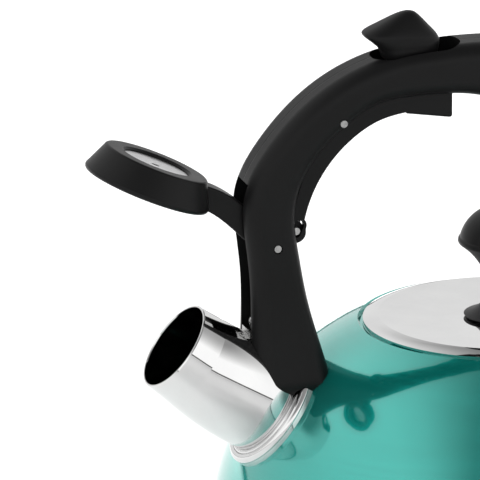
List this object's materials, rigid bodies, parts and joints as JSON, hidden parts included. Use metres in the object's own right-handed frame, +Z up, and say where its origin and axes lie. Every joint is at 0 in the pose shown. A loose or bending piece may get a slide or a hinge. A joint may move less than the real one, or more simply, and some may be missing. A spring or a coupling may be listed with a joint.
{
  "type": "stovetop whistling kettle",
  "caption": "Domed stovetop kettle with lift-off lid, short spout, arched handle, and a trigger that swings the whistle cap open.",
  "frame": {"origin": "centre of the base plate's underside, on the stove", "axes": "+Z up; the spout points towards -X; the handle lies in the plane Y = 0; +Y is the side of the handle's screw heads"},
  "size_m": [0.267, 0.2154, 0.2378],
  "materials": {
    "teal_body": "glossy translucent teal over metal",
    "polished_steel": "mirror polished stainless",
    "brushed_steel": "brushed stainless",
    "black_plastic": "soft-touch black",
    "seal_rubber": "food-grade silicone, matte",
    "plain_steel": "plain steel hardware"
  },
  "bodies": {
    "kettle": {"kettle_body": "teal_body", "body_bottom": "teal_body", "base_plate": "brushed_steel", "lid_seat_ring": "polished_steel", "spout_tube": "polished_steel", "spout_flange": "polished_steel", "handle_left": "black_plastic", "handle_right": "black_plastic", "handle_screws": "plain_steel", "front_bracket": "plain_steel", "front_bracket_screw": "plain_steel", "rear_bracket": "plain_steel", "rear_bracket_screws": "plain_steel", "arm_pivot_pin": "plain_steel", "lever_pivot_pin": "plain_steel", "spring_seat": "plain_steel", "toggle_spring": "plain_steel"},
    "whistle": {"whistle_arm": "black_plastic", "whistle_cap": "black_plastic", "whistle_disc_upper": "brushed_steel", "whistle_disc_lower": "brushed_steel", "cap_seal": "seal_rubber", "link_pin": "plain_steel"},
    "trigger": {"trigger_lever": "black_plastic", "thumb_knob": "black_plastic"},
    "lid": {"lid_shell": "polished_steel", "lid_skirt": "polished_steel", "lid_knob": "black_plastic", "lid_knob_washer": "plain_steel", "lid_knob_screw": "plain_steel"}
  },
  "joints": [
    {"name": "whistle_hinge", "type": "hinge", "parent": "kettle", "child": "whistle", "pos_m": [-0.0899, 0, 0.154], "axis": [0, -1, 0], "range_deg": [0, 75], "deforming": ["toggle_spring"]},
    {"name": "trigger_hinge", "type": "hinge", "parent": "kettle", "child": "trigger", "pos_m": [-0.0646, 0, 0.1997], "axis": [0, -1, 0], "range_deg": [-15.42, 0]},
    {"name": "lid_lift", "type": "slide", "parent": "kettle", "child": "lid", "axis": [0, 0, 1], "range_m": [0, 0.025]}
  ],
  "couplings": [
    {"joint": "trigger_hinge", "follows": "whistle_hinge", "ratio": -0.2056}
  ]
}
